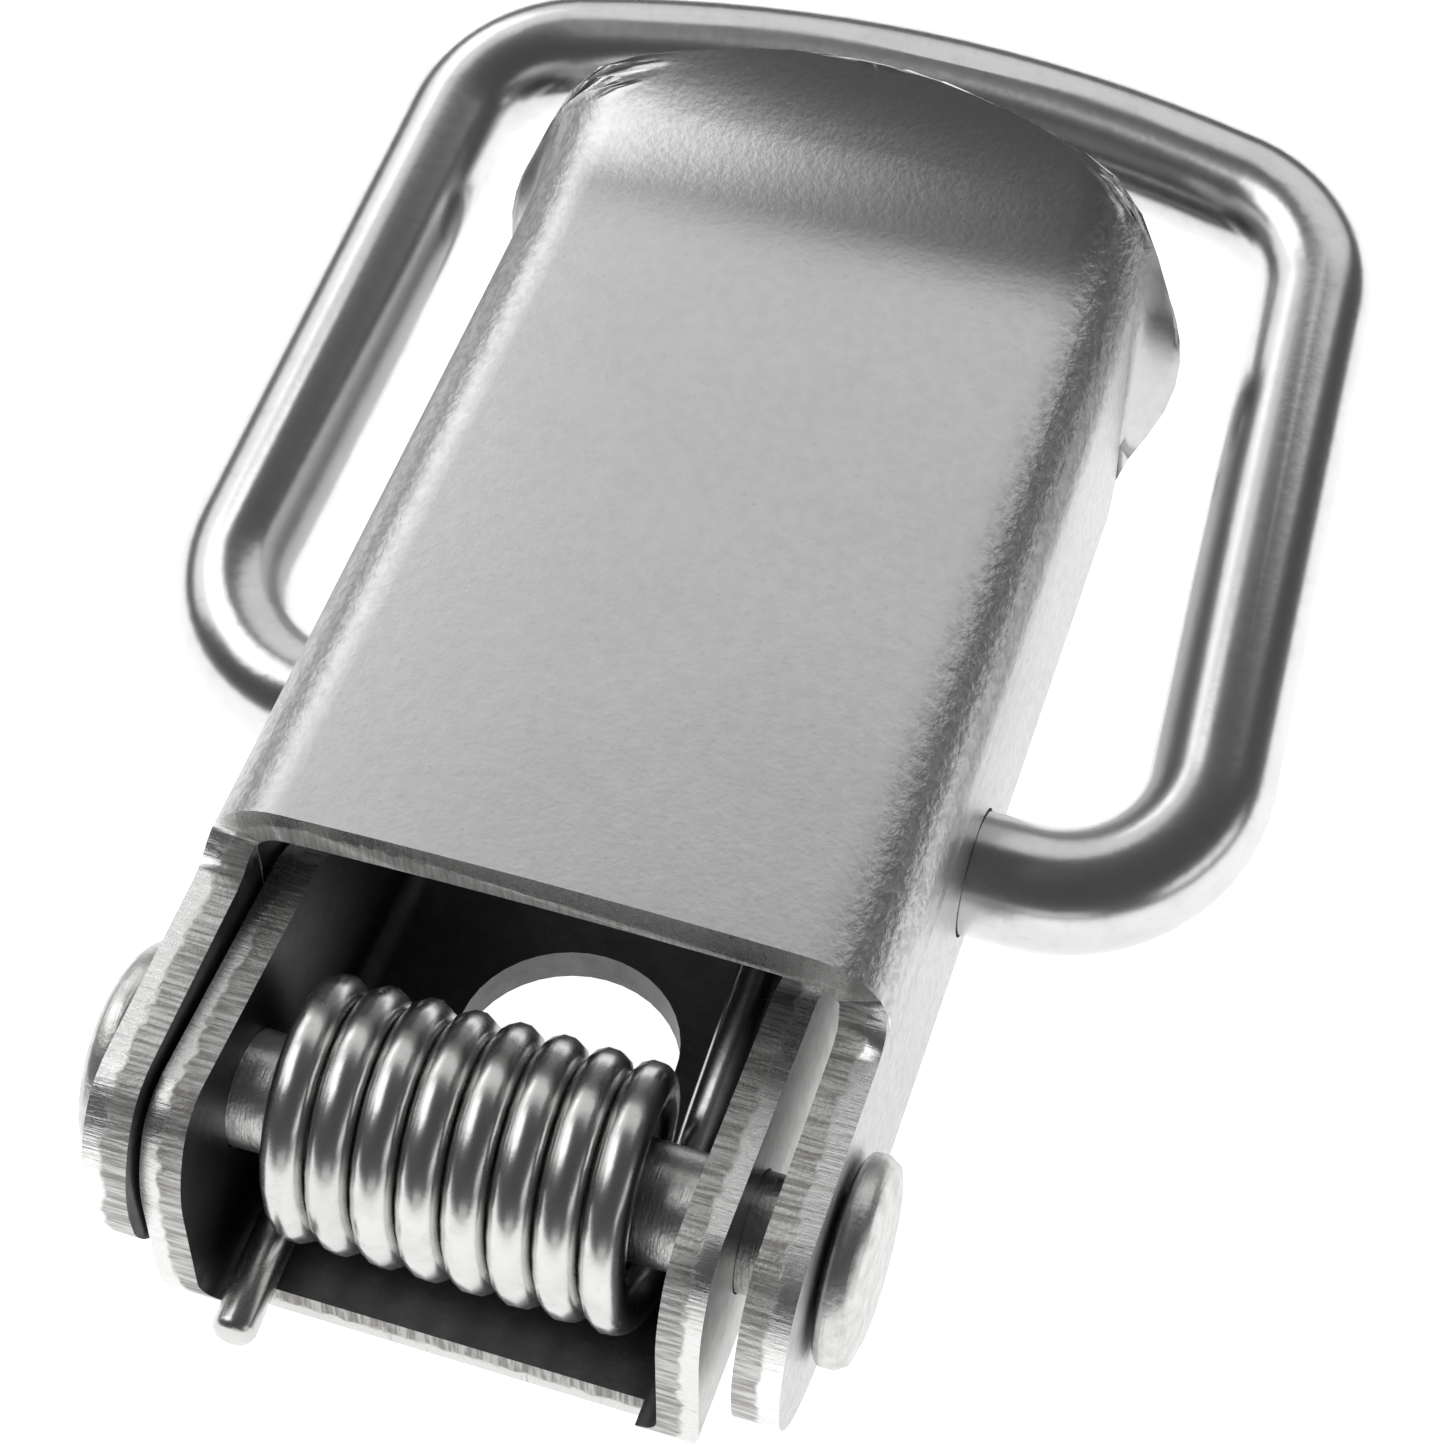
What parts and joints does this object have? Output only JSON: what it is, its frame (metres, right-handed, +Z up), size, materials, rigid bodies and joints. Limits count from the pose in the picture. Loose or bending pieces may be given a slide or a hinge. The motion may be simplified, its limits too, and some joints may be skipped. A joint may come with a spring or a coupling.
{
  "type": "toggle bolt latch",
  "caption": "Spring-loaded over-centre toggle latch: pressed steel base and lever on a pivot rivet, with a wire bail that hooks a keeper.",
  "frame": {"origin": "on the base's underside, directly under the middle of the pivot axis, in the middle of the base's width", "axes": "+X along the pivot rivet, +Y from the pivot towards the finger lip, +Z up from the mounting surface"},
  "size_m": [0.0317, 0.043, 0.0161],
  "materials": {
    "base_steel": "satin nickel-plated pressing with sheared edges",
    "lever_steel": "satin tumbled pressing, fine grain",
    "rivet_steel": "matt turned and upset steel",
    "spring_steel": "bright drawn wire",
    "bail_steel": "bright plated drawn wire"
  },
  "bodies": {
    "base": {"base": "base_steel", "pivot_rivet": "rivet_steel", "torsion_spring": "spring_steel"},
    "lever": {"lever": "lever_steel"},
    "bail": {"bail": "bail_steel"}
  },
  "joints": [
    {"name": "lever_pivot", "type": "hinge", "parent": "base", "child": "lever", "pos_m": [0.0004, 0, 0.0047], "axis": [1, 0, 0], "range_deg": [0, 135], "stiffness_Nm_per_rad": 0.12, "springref_deg": -20.05, "deforming": ["torsion_spring"]},
    {"name": "bail_pivot", "type": "hinge", "parent": "lever", "child": "bail", "pos_m": [0.0004, 0.01249, 0.00477], "axis": [1, 0, 0], "range_deg": [-22, 168]}
  ]
}
